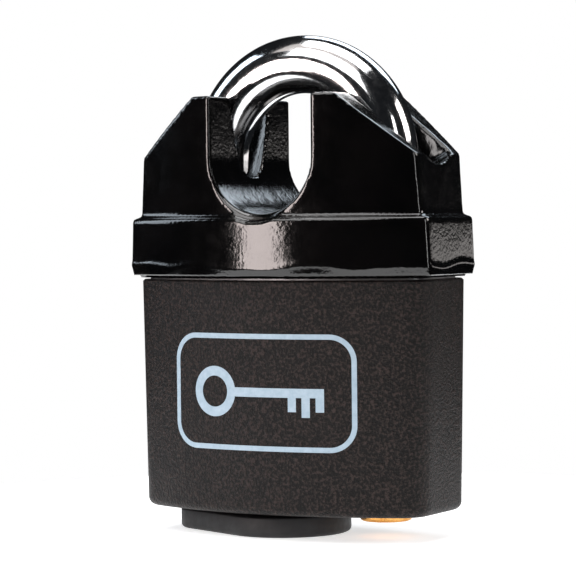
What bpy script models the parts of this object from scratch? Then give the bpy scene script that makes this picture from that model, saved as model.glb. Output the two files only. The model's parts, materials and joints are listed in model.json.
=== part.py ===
"""Shrouded block padlock: a steel guard over a jacketed core, a ball-locked shackle,
a disc cylinder and a swinging keyway cover.

Frame: +Z up, front face towards -Y, origin under the middle of the body, on the
plane that the keyway cover rests on. All dimensions below are in millimetres.
"""
import math

import bmesh
import bpy
from mathutils import Matrix, Vector

MM = 0.001
GAP = 0.3

# Body envelope, a lens in plan: two cylindrical faces and two flat sides
FACE_RADIUS = 64.35
BODY_BOTTOM = 4.8
BODY_TOP = 48.1
BODY_HALF_WIDTH_TOP = 30.95
BODY_HALF_WIDTH_BOTTOM = 29.85
BODY_HALF_DEPTH = 16.62
BODY_CORNER = 5.5
BODY_EDGE = 1.5
JACKET_WALL = 1.3
JACKET_FLOOR = 1.2

# Core block inside the jacket
CORE_INSET = JACKET_WALL + GAP
CORE_BOTTOM = BODY_BOTTOM + JACKET_FLOOR + GAP
CORE_TOP = 56.9
CORE_CORNER = 3.9

# Shackle guard: a skirt round the core's top and a slotted block above it
SKIRT_BOTTOM = BODY_TOP + GAP
SKIRT_TOP = 59.7
SKIRT_HALF_WIDTH_BOTTOM = 32.1
SKIRT_HALF_WIDTH_TOP = 31.6
SKIRT_HALF_DEPTH = 17.95
BLOCK_HALF_WIDTH = 30.05
BLOCK_HALF_WIDTH_CORNER = 29.25
BLOCK_HALF_DEPTH = 16.28
GUARD_CORNER = 1.2
SHOULDER_HEIGHT = 71.0
PLATEAU_HALF_WIDTH = 14.9
GUARD_TOP = 82.4
WINDOW_RADIUS = 10.7
WINDOW_BOTTOM = 60.35
WINDOW_FLARE = 1.5
SLOT_RADIUS = 6.7
SLOT_RADIUS_TOP = 8.2
SLOT_RAMP_START = 67.1
SLOT_RAMP_END = 79.1
SLOT_REACH = 18.0

# Shackle
BAR_RADIUS = 5.5
LEG_PITCH = 36.0
ARCH_HEIGHT = 70.4
TOE_END = 46.0
HEEL_END = 9.0
HEEL_COLLAR_TOP = 11.3
NECK_RADIUS = 4.5
SPRING_HOLE_RADIUS = 2.2
SPRING_HOLE_TOP = 30.0
BORE_RADIUS = 5.8

# Cylinder axis, midway between the shackle's legs
AXIS_X = 0.95
TOE_X = AXIS_X - LEG_PITCH / 2
HEEL_X = AXIS_X + LEG_PITCH / 2

# Locking balls; each distance is measured from the cylinder's axis
BALL_RADIUS = 3.5
BALL_HEIGHT = 51.3
BALL_LOCKED = 10.85
TOE_BALL_OPEN = 8.65
HEEL_BALL_OPEN = 9.55
BALL_PLAY = 0.25
CHANNEL_RADIUS = 3.8

# Actuator cam
CAM_SHAFT_RADIUS = 5.0
CAM_BOTTOM = 38.8
CAM_LOBE_BOTTOM = 47.2
CAM_TOP = 55.0
CAM_CHAMBER_RADIUS = 7.5
CAM_CHAMBER_TOP = 55.3
DRIVE_LENGTH = 6.0
DRIVE_WIDTH = 2.2
DRIVE_TOP = 42.0

# Disc cylinder
SHELL_RADIUS = 9.5
SHELL_BORE = 7.7
SHELL_MOUTH = 5.2
SHELL_BOTTOM = 6.6
SHELL_TOP = 40.6
SHELL_LIP = 1.2
ROTOR_RADIUS = 7.4
ROTOR_BORE = 6.3
ROTOR_BOTTOM = 8.1
ROTOR_FLOOR = 36.0
ROTOR_TOP = 38.5
DISC_RADIUS = 6.0
DISC_THICKNESS = 1.8
SPACER_THICKNESS = 0.5
DISC_COUNT = 9
DISC_START = 10.5
PLATE_THICKNESS = 2.0
KEY_RADIUS = 3.0
GATE_WIDTH = 2.2
GATE_FLOOR = 4.8
SIDEBAR_WIDTH = 1.5
SIDEBAR_INNER = 5.1
SIDEBAR_OUTER = 7.1
SIDEBAR_BOTTOM = 12.0
SIDEBAR_TOP = 34.0
CLIP_OUTER = 8.1
CLIP_INNER = 6.9
CLIP_BOTTOM = 38.9
CLIP_THICKNESS = 0.8

# Fasteners
SCREW_OFFSET_X = 10.0
SCREW_OFFSET_Y = 9.8
SCREW_RADIUS = 2.0
SCREW_HEAD_RADIUS = 2.9
SCREW_HEAD_HEIGHT = 3.5
SCREW_TIP = 61.3
SCREW_SOCKET = 1.5
GRUB_RADIUS = 1.4
GRUB_HEIGHT = 14.0
GRUB_START = 9.1
GRUB_END = 12.7

# Brass plug that closes the heel bore
PLUG_X = 17.7
PLUG_RADIUS = 4.86
PLUG_BOTTOM = 3.05
PLUG_TOP = 8.4

# Heel spring
SPRING_COIL_RADIUS = 1.5
SPRING_WIRE_RADIUS = 0.35
SPRING_TURNS = 8
SPRING_TOP = 29.3

# Keyway cover, a teardrop plate swinging on a rivet at its small end
COVER_X = -3.74
COVER_RADIUS = 12.44
PIVOT_X = -20.2
PIVOT_RADIUS = 5.93
COVER_THICKNESS = 3.8
COVER_EDGE = 0.9
RIVET_RADIUS = 1.5
RIVET_HEAD_RADIUS = 3.2
RIVET_HEAD_BOTTOM = 0.4
RIVET_HEAD_TOP = 1.6
RIVET_TOP = 13.0
WASHER_RADIUS = 4.5
WASHER_THICKNESS = 0.4

# Colour, metallic, roughness
FINISHES = {
    "guard_paint": ((0.012, 0.012, 0.013), 0.0, 0.22),
    "jacket_plastic": ((0.026, 0.022, 0.021), 0.0, 0.5),
    "cover_plastic": ((0.015, 0.015, 0.016), 0.0, 0.55),
    "chrome": ((0.80, 0.81, 0.83), 1.0, 0.08),
    "steel": ((0.46, 0.46, 0.48), 1.0, 0.32),
    "brass": ((0.72, 0.44, 0.16), 1.0, 0.28),
    "cast_zinc": ((0.33, 0.33, 0.34), 1.0, 0.5),
}


# ---------------------------------------------------------------- helpers

def clear_scene():
    for thing in list(bpy.data.objects):
        bpy.data.objects.remove(thing, do_unlink=True)


def finish_material(name):
    found = bpy.data.materials.get(name)
    if found:
        return found
    colour, metallic, roughness = FINISHES[name]
    made = bpy.data.materials.new(name)
    made.use_nodes = True
    shader = made.node_tree.nodes["Principled BSDF"]
    shader.inputs["Base Color"].default_value = (*colour, 1.0)
    shader.inputs["Metallic"].default_value = metallic
    shader.inputs["Roughness"].default_value = roughness
    return made


def solid(name, shape):
    """Turn a bmesh in millimetres into an object in metres, its faces pointing out."""
    bmesh.ops.recalc_face_normals(shape, faces=shape.faces)
    bmesh.ops.scale(shape, vec=(MM, MM, MM), verts=shape.verts)
    mesh = bpy.data.meshes.new(name)
    shape.to_mesh(mesh)
    shape.free()
    made = bpy.data.objects.new(name, mesh)
    bpy.context.scene.collection.objects.link(made)
    return made


def combine(target, tool, operation="DIFFERENCE"):
    """Apply an exact Boolean with a tool object, then drop the tool."""
    step = target.modifiers.new("combine", "BOOLEAN")
    step.operation = operation
    step.solver = "EXACT"
    step.object = tool
    graph = bpy.context.evaluated_depsgraph_get()
    mesh = bpy.data.meshes.new_from_object(target.evaluated_get(graph))
    target.modifiers.clear()
    target.data = mesh
    bpy.data.objects.remove(tool, do_unlink=True)
    return target


def finished(thing, finish, origin=(0.0, 0.0, 0.0)):
    """Give an object its origin (in millimetres), its finish and its smooth shading."""
    place = Vector(origin) * MM
    thing.data.transform(Matrix.Translation(-place))
    thing.location = place
    thing.data.materials.clear()
    thing.data.materials.append(finish_material(finish))
    thing.data.shade_smooth()
    thing.data.set_sharp_from_angle(angle=math.radians(35.0))
    return thing


def loft(rings):
    """Closed bmesh through rings of equal length, with a flat cap at each end."""
    shape = bmesh.new()
    loops = [[shape.verts.new(point) for point in ring] for ring in rings]
    count = len(loops[0])
    for lower, upper in zip(loops, loops[1:]):
        for i in range(count):
            j = (i + 1) % count
            shape.faces.new((lower[i], lower[j], upper[j], upper[i]))
    shape.faces.new(list(reversed(loops[0])))
    shape.faces.new(loops[-1])
    return shape


def circle(radius, height, centre=(0.0, 0.0), count=32):
    turns = [2 * math.pi * k / count for k in range(count)]
    return [(centre[0] + radius * math.cos(a), centre[1] + radius * math.sin(a), height) for a in turns]


def turned(name, profile, centre=(0.0, 0.0), count=24):
    """Solid of revolution about a vertical axis; profile holds (radius, height) pairs, going up."""
    return solid(name, loft([circle(r, z, centre, count) for r, z in profile]))


def rod(name, radius, bottom, top, centre=(0.0, 0.0), count=24):
    return turned(name, [(radius, bottom), (radius, top)], centre, count)


def cross_rod(name, radius, start, end, height, count=16):
    """Round bar along X."""
    turns = [2 * math.pi * k / count for k in range(count)]
    rings = [[(x, radius * math.cos(a), height + radius * math.sin(a)) for a in turns] for x in (start, end)]
    return solid(name, loft(rings))


def block(name, low, high):
    corners = [(low[0], low[1]), (high[0], low[1]), (high[0], high[1]), (low[0], high[1])]
    return solid(name, loft([[(x, y, z) for x, y in corners] for z in (low[2], high[2])]))


def ball(name, radius, centre, rows=10, columns=16):
    profile = []
    for k in range(1, rows):
        a = math.pi * k / rows - math.pi / 2
        profile.append((radius * math.cos(a), centre[2] + radius * math.sin(a)))
    shape = bmesh.new()
    loops = [[shape.verts.new(p) for p in circle(r, z, centre[:2], columns)] for r, z in profile]
    bottom = shape.verts.new((centre[0], centre[1], centre[2] - radius))
    top = shape.verts.new((centre[0], centre[1], centre[2] + radius))
    for i in range(columns):
        j = (i + 1) % columns
        shape.faces.new((bottom, loops[0][j], loops[0][i]))
        shape.faces.new((top, loops[-1][i], loops[-1][j]))
        for lower, upper in zip(loops, loops[1:]):
            shape.faces.new((lower[i], lower[j], upper[j], upper[i]))
    return solid(name, shape)


def lens(half_width, half_depth, corner, height):
    """Plan outline: a bowed front and back, flat sides, filleted corners."""
    arc_centre = FACE_RADIUS - half_depth
    fillet_y = arc_centre - math.sqrt((FACE_RADIUS - corner) ** 2 - (half_width - corner) ** 2)
    meet = math.asin((half_width - corner) / (FACE_RADIUS - corner))
    face_steps, corner_steps = 9, 4
    quarter = []
    for k in range(face_steps + 1):
        a = meet * k / face_steps
        quarter.append((FACE_RADIUS * math.sin(a), arc_centre - FACE_RADIUS * math.cos(a)))
    for k in range(1, corner_steps + 1):
        a = meet + (math.pi / 2 - meet) * k / corner_steps
        quarter.append((half_width - corner + corner * math.sin(a), fillet_y - corner * math.cos(a)))
    right = quarter + [(x, -y) for x, y in reversed(quarter)]
    left = [(-x, y) for x, y in reversed(right[1:-1])]
    return [(x, y, height) for x, y in right + left]


# ---------------------------------------------------------------- casing

def jacket_half_width(height):
    share = (height - BODY_BOTTOM) / (BODY_TOP - BODY_BOTTOM)
    return BODY_HALF_WIDTH_BOTTOM + share * (BODY_HALF_WIDTH_TOP - BODY_HALF_WIDTH_BOTTOM)


def body_rings(inset, bottom, top, edge, corner):
    """Rings of the tapered body, its lower edge rounded off."""
    rings = []
    steps = 5 if edge > 0 else 0
    for k in range(steps):
        a = math.pi / 2 * k / steps
        tuck = edge * (1 - math.sin(a))
        height = bottom + edge * (1 - math.cos(a))
        half = jacket_half_width(height) - inset - tuck
        rings.append(lens(half, BODY_HALF_DEPTH - inset - tuck, corner - tuck * 0.5, height))
    for height in (bottom + edge, top):
        half = min(jacket_half_width(height), BODY_HALF_WIDTH_TOP) - inset
        rings.append(lens(half, BODY_HALF_DEPTH - inset, corner, height))
    return rings


def make_jacket():
    jacket = solid("body_jacket", loft(body_rings(0.0, BODY_BOTTOM, BODY_TOP, BODY_EDGE, BODY_CORNER)))
    hollow_floor = BODY_BOTTOM + JACKET_FLOOR
    hollow = body_rings(JACKET_WALL, hollow_floor, BODY_TOP + 5.0, 0.0, BODY_CORNER - JACKET_WALL)
    combine(jacket, solid("hollow", loft(hollow)))
    for x, radius in ((AXIS_X, 6.5), (PLUG_X, PLUG_RADIUS + GAP), (PIVOT_X, RIVET_RADIUS + GAP)):
        combine(jacket, rod("hole", radius, BODY_BOTTOM - 2, hollow_floor + 2, (x, 0)))
    return finished(jacket, "jacket_plastic")


def screw_places():
    return [(AXIS_X + sx * SCREW_OFFSET_X, sy * SCREW_OFFSET_Y) for sx in (-1, 1) for sy in (-1, 1)]


def make_core():
    lower = body_rings(CORE_INSET, CORE_BOTTOM, BODY_TOP, 0.0, CORE_CORNER)
    half = BODY_HALF_WIDTH_TOP - CORE_INSET
    upper = lens(half, BODY_HALF_DEPTH - CORE_INSET, CORE_CORNER, CORE_TOP)
    core = solid("lock_core", loft(lower + [upper]))
    chamber = [(SHELL_RADIUS + GAP, CORE_BOTTOM - 2), (SHELL_RADIUS + GAP, SHELL_TOP + GAP)]
    chamber += [(CAM_CHAMBER_RADIUS, SHELL_TOP + GAP), (CAM_CHAMBER_RADIUS, CAM_CHAMBER_TOP)]
    combine(core, turned("chamber", chamber, (AXIS_X, 0)))
    combine(core, rod("toe_bore", BORE_RADIUS, TOE_END - 1.2, CORE_TOP + 2, (TOE_X, 0), 28))
    combine(core, rod("heel_bore", BORE_RADIUS, PLUG_TOP + GAP, CORE_TOP + 2, (HEEL_X, 0), 28))
    combine(core, rod("plug_hole", PLUG_RADIUS + GAP, CORE_BOTTOM - 2, PLUG_TOP + 2 * GAP, (PLUG_X, 0)))
    combine(core, cross_rod("ball_channel", CHANNEL_RADIUS, TOE_X, HEEL_X, BALL_HEIGHT))
    combine(core, cross_rod("grub_hole", GRUB_RADIUS + GAP, AXIS_X + 8.0, HEEL_X, GRUB_HEIGHT))
    combine(core, rod("rivet_hole", RIVET_RADIUS + GAP, CORE_BOTTOM - 2, RIVET_TOP + GAP, (PIVOT_X, 0), 12))
    head_top = CORE_BOTTOM + 2 * GAP + SCREW_HEAD_HEIGHT + GAP
    for place in screw_places():
        steps = [(SCREW_HEAD_RADIUS + GAP, CORE_BOTTOM - 2), (SCREW_HEAD_RADIUS + GAP, head_top)]
        steps += [(SCREW_RADIUS + GAP, head_top), (SCREW_RADIUS + GAP, CORE_TOP + 2)]
        combine(core, turned("screw_hole", steps, place, 14))
    return finished(core, "cast_zinc")


def guard_rings():
    """Skirt, shoulder step and block, one ring above another."""
    step = 0.7
    rings = [
        lens(SKIRT_HALF_WIDTH_BOTTOM, SKIRT_HALF_DEPTH, GUARD_CORNER, SKIRT_BOTTOM),
        lens(SKIRT_HALF_WIDTH_TOP, SKIRT_HALF_DEPTH, GUARD_CORNER, SKIRT_TOP - step),
        lens(SKIRT_HALF_WIDTH_TOP - step * 0.3, SKIRT_HALF_DEPTH - step * 0.3, GUARD_CORNER, SKIRT_TOP - step * 0.3),
        lens(SKIRT_HALF_WIDTH_TOP - step, SKIRT_HALF_DEPTH - step, GUARD_CORNER, SKIRT_TOP),
        lens(BLOCK_HALF_WIDTH, BLOCK_HALF_DEPTH, GUARD_CORNER, SKIRT_TOP + 0.2),
        lens(BLOCK_HALF_WIDTH_CORNER, BLOCK_HALF_DEPTH, GUARD_CORNER, SHOULDER_HEIGHT),
        lens(BLOCK_HALF_WIDTH_CORNER, BLOCK_HALF_DEPTH, GUARD_CORNER, GUARD_TOP),
    ]
    return rings


def slope_cutter(side):
    """Wedge of air above one sloping shoulder."""
    fall = (GUARD_TOP - SHOULDER_HEIGHT) / (BLOCK_HALF_WIDTH_CORNER - PLATEAU_HALF_WIDTH)
    reach = 45.0
    low = GUARD_TOP - fall * (reach - PLATEAU_HALF_WIDTH)
    start = PLATEAU_HALF_WIDTH - 2.0
    start_height = GUARD_TOP + 2.0 * fall
    outline = [(start, start_height), (reach, low), (reach, start_height)]
    rings = [[(side * x, y, z) for x, z in outline] for y in (-30.0, 30.0)]
    return solid("slope", loft(rings))


def window_cutter():
    """Round-bottomed window from front to back, flared at both mouths."""
    centre = WINDOW_BOTTOM + WINDOW_RADIUS
    steps = 20
    stations = [(-30.0, 1.0), (-BLOCK_HALF_DEPTH, 1.0)]
    stations += [(-BLOCK_HALF_DEPTH + WINDOW_FLARE * (1 - math.cos(a)), 1 - math.sin(a))
                 for a in (math.radians(25), math.radians(55), math.radians(90))]
    stations += [(-y, f) for y, f in reversed(stations)]
    rings = []
    for y, flare in stations:
        radius = WINDOW_RADIUS + WINDOW_FLARE * flare
        ring = [(radius, y, GUARD_TOP + 8.0)]
        for k in range(steps + 1):
            a = math.pi * k / steps
            ring.append((radius * math.cos(a), y, centre - radius * math.sin(a)))
        ring.append((-radius, y, GUARD_TOP + 8.0))
        rings.append(ring)
    return solid("window", loft(rings))


def slot_cutter(leg_x, side):
    """Long slot above the leg's bore; its outer end is a ramp that breaks out at the shoulder."""
    top = GUARD_TOP + 8.0
    foot = circle(SLOT_RADIUS, SLOT_RAMP_START, (leg_x, 0), 28)
    ramp = circle(SLOT_RADIUS + 0.3, SLOT_RAMP_END, (leg_x + side * SLOT_REACH, 0), 28)
    outer = circle(SLOT_RADIUS_TOP, top, (leg_x + side * SLOT_REACH, 0), 28)
    inner = circle(SLOT_RADIUS_TOP, top, (leg_x - side * 6.0, 0), 28)
    shape = bmesh.new()
    for point in foot + ramp + outer + inner:
        shape.verts.new(point)
    bmesh.ops.convex_hull(shape, input=shape.verts)
    loose = [v for v in shape.verts if not v.link_faces]
    bmesh.ops.delete(shape, geom=loose, context="VERTS")
    return solid("slot", shape)


def make_guard():
    guard = solid("shackle_guard", loft(guard_rings()))
    half = BODY_HALF_WIDTH_TOP - CORE_INSET + GAP
    depth = BODY_HALF_DEPTH - CORE_INSET + GAP
    cavity = [lens(half, depth, CORE_CORNER, z) for z in (SKIRT_BOTTOM - 2, CORE_TOP + GAP)]
    combine(guard, solid("cavity", loft(cavity)))
    combine(guard, window_cutter())
    for side, leg in ((-1, TOE_X), (1, HEEL_X)):
        combine(guard, slope_cutter(side))
        combine(guard, rod("leg_bore", SLOT_RADIUS, CORE_TOP - 2, SLOT_RAMP_START + 1, (leg, 0), 28))
        combine(guard, slot_cutter(leg, side))
    for place in screw_places():
        combine(guard, rod("screw_hole", SCREW_RADIUS + GAP, CORE_TOP - 2, SCREW_TIP + GAP, place, 14))
    return finished(guard, "guard_paint")


# ---------------------------------------------------------------- shackle and its lock

def shackle_rings(count=22):
    """Rings from the heel's end, over the arch, to the toe's end."""
    heel = [(BAR_RADIUS - 0.5, HEEL_END), (BAR_RADIUS, HEEL_END + 0.5), (BAR_RADIUS, HEEL_COLLAR_TOP - 0.4)]
    heel += [(BAR_RADIUS - 0.4, HEEL_COLLAR_TOP)]
    heel += [(NECK_RADIUS, HEEL_COLLAR_TOP), (NECK_RADIUS, BALL_HEIGHT), (BAR_RADIUS, BALL_HEIGHT + 1.0)]
    toe = [(BAR_RADIUS, TOE_END + 1.0), (BAR_RADIUS - 1.0, TOE_END)]
    rings = [circle(r, z, (HEEL_X, 0), count) for r, z in heel]
    arch_steps = 20
    for k in range(arch_steps + 1):
        a = math.pi * k / arch_steps
        ring = []
        for m in range(count):
            b = 2 * math.pi * m / count
            reach = LEG_PITCH / 2 + BAR_RADIUS * math.cos(b)
            ring.append((AXIS_X + reach * math.cos(a), BAR_RADIUS * math.sin(b), ARCH_HEIGHT + reach * math.sin(a)))
        rings.append(ring)
    for r, z in toe:
        ring = circle(r, z, (0, 0), count)
        rings.append([(TOE_X - x, y, height) for x, y, height in ring])
    return rings


def make_shackle():
    shackle = solid("shackle", loft(shackle_rings()))
    for side in (-1, 1):
        place = (AXIS_X + side * BALL_LOCKED, 0.0, BALL_HEIGHT)
        combine(shackle, ball("notch", CHANNEL_RADIUS, place))
    groove = rod("groove", CHANNEL_RADIUS, HEEL_COLLAR_TOP - 0.4, BALL_HEIGHT, (AXIS_X + BALL_LOCKED, 0))
    combine(shackle, groove)
    combine(shackle, rod("spring_hole", SPRING_HOLE_RADIUS, HEEL_END - 1, SPRING_HOLE_TOP, (HEEL_X, 0), 20))
    return finished(shackle, "chrome", (HEEL_X, 0, ARCH_HEIGHT))


def make_spring():
    """Round-wire coil standing on the brass plug inside the heel leg."""
    sides, steps_per_turn = 5, 11
    start = PLUG_TOP + GAP + SPRING_WIRE_RADIUS
    rise = SPRING_TOP - SPRING_WIRE_RADIUS - start
    rings = []
    for k in range(SPRING_TURNS * steps_per_turn + 1):
        turn = k / steps_per_turn
        a = 2 * math.pi * turn
        out = Vector((math.cos(a), math.sin(a), 0.0))
        middle = Vector((HEEL_X, 0.0, start + rise * turn / SPRING_TURNS)) + out * SPRING_COIL_RADIUS
        ring = []
        for m in range(sides):
            b = 2 * math.pi * m / sides
            offset = out * math.cos(b) + Vector((0, 0, 1)) * math.sin(b)
            ring.append(tuple(middle + offset * SPRING_WIRE_RADIUS))
        rings.append(ring)
    return finished(solid("shackle_spring", loft(rings)), "steel")


def make_balls():
    for name, side, distance in (("toe_ball", -1, TOE_BALL_OPEN), ("heel_ball", 1, HEEL_BALL_OPEN)):
        place = (AXIS_X + side * distance, 0.0, BALL_HEIGHT)
        finished(ball(name, BALL_RADIUS, place), "steel", place)


def cam_radius(degrees):
    """Two spiral lobes: each lifts its ball evenly over a quarter turn, dwells, and drops back."""
    high = BALL_LOCKED - BALL_RADIUS - BALL_PLAY
    low = (TOE_BALL_OPEN if degrees >= 150 and degrees < 330 else HEEL_BALL_OPEN) - BALL_RADIUS - BALL_PLAY
    local = degrees % 180
    if local <= 90:
        return low + (high - low) * local / 90
    if local <= 130:
        return high
    if local >= 155:
        return low
    after = (TOE_BALL_OPEN if degrees < 180 else HEEL_BALL_OPEN) - BALL_RADIUS - BALL_PLAY
    return high + (after - high) * (local - 130) / 25


def make_cam():
    shaft = rod("actuator_cam", CAM_SHAFT_RADIUS, CAM_BOTTOM, CAM_LOBE_BOTTOM + 1, (AXIS_X, 0))
    steps = 60
    rings = []
    for height in (CAM_LOBE_BOTTOM, CAM_TOP):
        ring = []
        for k in range(steps):
            degrees = 360 * k / steps
            a, r = math.radians(degrees), cam_radius(degrees)
            ring.append((AXIS_X + r * math.cos(a), r * math.sin(a), height))
        rings.append(ring)
    combine(shaft, solid("lobes", loft(rings)), "UNION")
    half_length, half_width = DRIVE_LENGTH / 2 + GAP, DRIVE_WIDTH / 2 + GAP
    low = (AXIS_X - half_length, -half_width, CAM_BOTTOM - 1)
    high = (AXIS_X + half_length, half_width, DRIVE_TOP + GAP)
    combine(shaft, block("drive_slot", low, high))
    return finished(shaft, "steel", (AXIS_X, 0, CAM_BOTTOM))


# ---------------------------------------------------------------- disc cylinder

def make_shell():
    shell = rod("cylinder_shell", SHELL_RADIUS, SHELL_BOTTOM, SHELL_TOP, (AXIS_X, 0), 32)
    bore = [(SHELL_MOUTH, SHELL_BOTTOM - 1), (SHELL_MOUTH, SHELL_BOTTOM + SHELL_LIP)]
    bore += [(SHELL_BORE, SHELL_BOTTOM + SHELL_LIP), (SHELL_BORE, CLIP_BOTTOM - 0.2)]
    groove_top = CLIP_BOTTOM + CLIP_THICKNESS + 0.2
    bore += [(CLIP_OUTER + GAP, CLIP_BOTTOM - 0.2), (CLIP_OUTER + GAP, groove_top)]
    bore += [(SHELL_BORE, groove_top), (SHELL_BORE, SHELL_TOP + 1)]
    combine(shell, turned("bore", bore, (AXIS_X, 0), 32))
    combine(shell, cross_rod("grub_hole", GRUB_RADIUS + GAP, AXIS_X + 7.0, AXIS_X + 11.0, GRUB_HEIGHT))
    return finished(shell, "steel")


def make_rotor():
    rotor = rod("rotor", ROTOR_RADIUS, ROTOR_BOTTOM, ROTOR_TOP, (AXIS_X, 0), 32)
    low = (AXIS_X - DRIVE_LENGTH / 2, -DRIVE_WIDTH / 2, ROTOR_TOP - 1)
    high = (AXIS_X + DRIVE_LENGTH / 2, DRIVE_WIDTH / 2, DRIVE_TOP)
    combine(rotor, block("tongue", low, high), "UNION")
    combine(rotor, rod("bore", ROTOR_BORE, ROTOR_BOTTOM - 1, ROTOR_FLOOR, (AXIS_X, 0), 32))
    half = SIDEBAR_WIDTH / 2 + GAP
    low = (AXIS_X - half, 4.0, SIDEBAR_BOTTOM - GAP)
    combine(rotor, block("sidebar_slot", low, (AXIS_X + half, 9.0, SIDEBAR_TOP + GAP)))
    return finished(rotor, "brass", (AXIS_X, 0, ROTOR_BOTTOM))


def make_front_plate():
    """Hardened disc behind the shell's mouth, with a half-round key opening."""
    plate = rod("drill_plate", DISC_RADIUS, ROTOR_BOTTOM, ROTOR_BOTTOM + PLATE_THICKNESS, (AXIS_X, 0))
    combine(plate, key_cutter(ROTOR_BOTTOM - 1, DISC_START, 0.0))
    return finished(plate, "steel", (AXIS_X, 0, ROTOR_BOTTOM))


def key_cutter(bottom, top, turn):
    """Half-round key opening, turned about the cylinder's axis."""
    steps = 8
    outline = [(KEY_RADIUS * math.cos(a), KEY_RADIUS * math.sin(a))
               for a in [math.pi * k / steps - math.pi * 0.08 for k in range(steps + 1)]]
    cos, sin = math.cos(turn), math.sin(turn)
    rings = [[(AXIS_X + x * cos - y * sin, x * sin + y * cos, z) for x, y in outline] for z in (bottom, top)]
    return solid("key_opening", loft(rings))


def make_discs():
    """Coded discs with their gates lined up under the sidebar, and plain spacers between them."""
    pitch = DISC_THICKNESS + SPACER_THICKNESS + 2 * GAP
    for k in range(DISC_COUNT):
        bottom = DISC_START + k * pitch
        top = bottom + DISC_THICKNESS
        disc = rod(f"disc_{k + 1}", DISC_RADIUS, bottom, top, (AXIS_X, 0), 20)
        code_turn = math.radians(18.0 * ((k * 3) % 6))
        combine(disc, key_cutter(bottom - 1, top + 1, code_turn))
        low = (AXIS_X - GATE_WIDTH / 2, GATE_FLOOR, bottom - 1)
        combine(disc, block("gate", low, (AXIS_X + GATE_WIDTH / 2, 8.0, top + 1)))
        finished(disc, "brass", (AXIS_X, 0, bottom))
        if k + 1 < DISC_COUNT:
            low, high = top + GAP, top + GAP + SPACER_THICKNESS
            spacer = rod(f"spacer_{k + 1}", DISC_RADIUS - 1.3, low, high, (AXIS_X, 0), 16)
            combine(spacer, rod("eye", KEY_RADIUS + 0.3, low - 1, high + 1, (AXIS_X, 0), 16))
            finished(spacer, "steel", (AXIS_X, 0, low))


def make_sidebar():
    low = (AXIS_X - SIDEBAR_WIDTH / 2, SIDEBAR_INNER, SIDEBAR_BOTTOM)
    high = (AXIS_X + SIDEBAR_WIDTH / 2, SIDEBAR_OUTER, SIDEBAR_TOP)
    return finished(block("sidebar", low, high), "steel", (AXIS_X, 0, SIDEBAR_BOTTOM))


def make_clip():
    """Open spring ring over the rotor."""
    clip = rod("rotor_clip", CLIP_OUTER, CLIP_BOTTOM, CLIP_BOTTOM + CLIP_THICKNESS, (AXIS_X, 0), 28)
    combine(clip, rod("eye", CLIP_INNER, CLIP_BOTTOM - 1, CLIP_BOTTOM + 2, (AXIS_X, 0), 28))
    low = (AXIS_X - 2.5, -10.0, CLIP_BOTTOM - 1)
    combine(clip, block("mouth", low, (AXIS_X + 2.5, -4.0, CLIP_BOTTOM + 2)))
    return finished(clip, "steel")


# ---------------------------------------------------------------- fasteners and cover

def make_guard_screws():
    bottom = CORE_BOTTOM + 2 * GAP
    under_head = bottom + SCREW_HEAD_HEIGHT
    for k, place in enumerate(screw_places()):
        profile = [(SCREW_HEAD_RADIUS - 0.3, bottom), (SCREW_HEAD_RADIUS, bottom + 0.3)]
        profile += [(SCREW_HEAD_RADIUS, under_head), (SCREW_RADIUS, under_head)]
        profile += [(SCREW_RADIUS, SCREW_TIP - 0.6), (SCREW_RADIUS - 0.6, SCREW_TIP)]
        screw = turned(f"guard_screw_{k + 1}", profile, place, 14)
        combine(screw, rod("socket", SCREW_SOCKET, bottom - 1, bottom + 2.0, place, 6))
        finished(screw, "steel")


def make_grub_screw():
    grub = cross_rod("cylinder_grub_screw", GRUB_RADIUS, GRUB_START, GRUB_END, GRUB_HEIGHT, 14)
    combine(grub, cross_rod("socket", 0.7, GRUB_END - 1.4, GRUB_END + 1, GRUB_HEIGHT, 6))
    return finished(grub, "steel")


def make_heel_plug():
    profile = [(PLUG_RADIUS - 0.5, PLUG_BOTTOM), (PLUG_RADIUS - 0.15, PLUG_BOTTOM + 0.15)]
    profile += [(PLUG_RADIUS, PLUG_BOTTOM + 0.5), (PLUG_RADIUS, PLUG_TOP)]
    return finished(turned("heel_plug", profile, (PLUG_X, 0), 32), "brass")


def teardrop(grow, height):
    """Plan outline of the cover: two circles and their common tangents."""
    large, small = COVER_RADIUS + grow, PIVOT_RADIUS + grow
    lean = math.acos((large - small) / (COVER_X - PIVOT_X))
    big_steps, small_steps = 22, 8
    ring = []
    for k in range(big_steps + 1):
        a = -(math.pi - lean) + 2 * (math.pi - lean) * k / big_steps
        ring.append((COVER_X + large * math.cos(a), large * math.sin(a), height))
    for k in range(small_steps + 1):
        a = math.pi - lean + 2 * lean * k / small_steps
        ring.append((PIVOT_X + small * math.cos(a), small * math.sin(a), height))
    return ring


def make_cover():
    rings = []
    for k in range(4):
        a = math.pi / 2 * k / 4
        rings.append(teardrop(-COVER_EDGE * (1 - math.sin(a)), COVER_EDGE * (1 - math.cos(a))))
    rings += [teardrop(0.0, COVER_EDGE), teardrop(0.0, COVER_THICKNESS - 0.3), teardrop(-0.3, COVER_THICKNESS)]
    cover = solid("keyway_cover", loft(rings))
    combine(cover, rod("rivet_hole", RIVET_RADIUS + GAP, -1.0, COVER_THICKNESS + 1, (PIVOT_X, 0), 16))
    combine(cover, rod("head_seat", RIVET_HEAD_RADIUS + GAP, -1.0, RIVET_HEAD_TOP + GAP, (PIVOT_X, 0), 20))
    return finished(cover, "cover_plastic", (PIVOT_X, 0, 0))


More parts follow.
